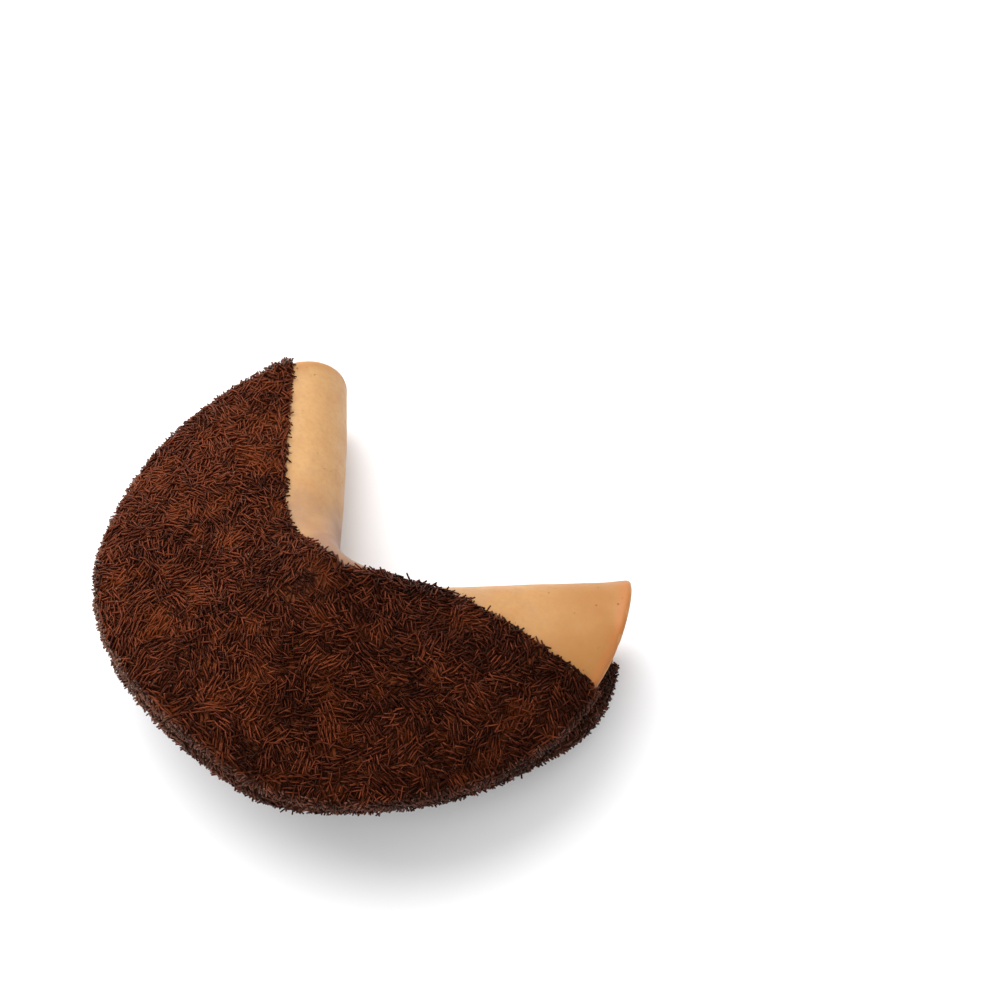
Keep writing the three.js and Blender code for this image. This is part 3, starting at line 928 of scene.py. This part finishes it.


# From the coat outwards. The pairs are lowest and highest, but the pair for the painted grey sheen is its
# share on cut ends and on sides.
sprinkleLayers = {
    # Each shade pair sets the tone: the under layer's lower one is painted shade, darker deep under the
    # others, and the lip's higher one is painted light on its grey band.
    "Under": {
        "spacing": 0.00120, "most": 1100000.0, "lift": (0.00015, 0.00045), "tilt": 0.10, "length": 1.0,
        "shade": (0.0, 0.45), "sheenMark": (0.4, 0.0), "inset": (0.0001, 0.0001, 0.0002), "seed": 0,
    },
    "Over": {
        "spacing": 0.00125, "most": 700000.0, "lift": (0.0006, 0.0012), "tilt": 0.34, "length": 1.0,
        "shade": (0.3, 1.0), "sheenMark": (0.55, 0.0), "inset": (0.0006, 0.0006, 0.0006), "seed": 40,
    },
    "Raised": {
        "spacing": 0.0024, "most": 140000.0, "lift": (0.0008, 0.0016), "tilt": 0.95, "length": 1.0,
        "shade": (0.1, 0.9), "sheenMark": (0.55, 0.0), "inset": (0.0016, 0.0016, 0.0016), "seed": 60,
    },
    "Lip": {
        "spacing": 0.00086, "most": 1600000.0, "lift": (0.0001, 0.0007), "tilt": 1.05, "length": 0.62,
        "shade": (0.35, 1.1), "sheenMark": (1.0, 0.36), "inset": (0.0002, 0.0002, 0.0002), "seed": 80,
    },
}


# The pieces
waferPiece = makeWafer(waferLook)
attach(waferPiece, "root")
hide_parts("wafer")

coatPaint = coatMaterial(coatLook)
sprinkleTree = scatterTree(sprinkleLook, sprinkleMaterial(sprinkleLook))
for half, side in (("Upper", 1), ("Lower", -1)):
    coat, outside, lip = makeCoat("coat" + half, side, coatLook, coatPaint)
    pieces = [coat]
    for layerName, layer in sprinkleLayers.items():
        face = lip if layerName == "Lip" else outside
        name = "sprinkles" + half + layerName
        pieces.append(scatterSprinkles(name, face, sprinkleTree, layer, sprinkleLook))
    for helper in (outside, lip):
        bpy.data.objects.remove(helper)
    for piece in pieces:
        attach(piece, "root")
        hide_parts("chocolate_" + half.lower())


# Floor, light and camera
studio = {
    "floor": (0.86, 0.86, 0.87),
    "floorRoughness": 0.7,
    "floorSize": 8,
    "floorDrop": 0.0001,
    "lightSize": 2.2,
    "lightDistance": 1.6,
    "keyFrom": (-0.66, 0.11, 0.74),
    "keyPower": 44.0,
    "fillFrom": (0.25, -0.80, 0.54),
    "fillPower": 19.0,
    "backFrom": (0.30, 0.70, 0.65),
    "backPower": 9.0,
    "air": (1.0, 1.0, 1.0),
    "airStrength": 0.52,
}

bpy.ops.mesh.primitive_plane_add(size=studio["floorSize"], location=(0, 0, -studio["floorDrop"]))
floor = bpy.context.active_object
floor.name = "tableTop"
floorMaterial, _, floorShader = newMaterial("paleTable")
floorShader.inputs["Base Color"].default_value = (*studio["floor"], 1)
floorShader.inputs["Roughness"].default_value = studio["floorRoughness"]
floor.data.materials.append(floorMaterial)

world = bpy.data.worlds.new("studioAir")
bpy.context.scene.world = world
world.use_nodes = True
air = world.node_tree.nodes["Background"]
air.inputs["Color"].default_value = (*studio["air"], 1)
air.inputs["Strength"].default_value = studio["airStrength"]


def softbox(name):
    data = bpy.data.lights.new(name + "Softbox", "AREA")
    data.shape = "DISK"
    data.size = studio["lightSize"]
    data.energy = studio[name + "Power"]
    light = bpy.data.objects.new(name + "Softbox", data)
    bpy.context.scene.collection.objects.link(light)
    direction = Vector(studio[name + "From"]).normalized()
    light.location = direction * studio["lightDistance"]
    light.rotation_euler = direction.to_track_quat("Z", "Y").to_euler()


for name in ("key", "fill", "back"):
    softbox(name)

cameraView = {
    "place": (0.24853, -0.22962, 0.59125),
    "turnDegrees": (34.594, -2.454, 40.812),
    "lens": 61.05,
    "sensor": 36,
    "clipStart": 0.01,
}
cameraData = bpy.data.cameras.new("studioCamera")
cameraData.lens = cameraView["lens"]
cameraData.sensor_width = cameraView["sensor"]
cameraData.clip_start = cameraView["clipStart"]
cameraData.dof.use_dof = False
camera = bpy.data.objects.new("studioCamera", cameraData)
bpy.context.scene.collection.objects.link(camera)
camera.location = cameraView["place"]
camera.rotation_euler = [math.radians(a) for a in cameraView["turnDegrees"]]
bpy.context.scene.camera = camera
bpy.context.scene.view_settings.view_transform = "Standard"
print("studio set")
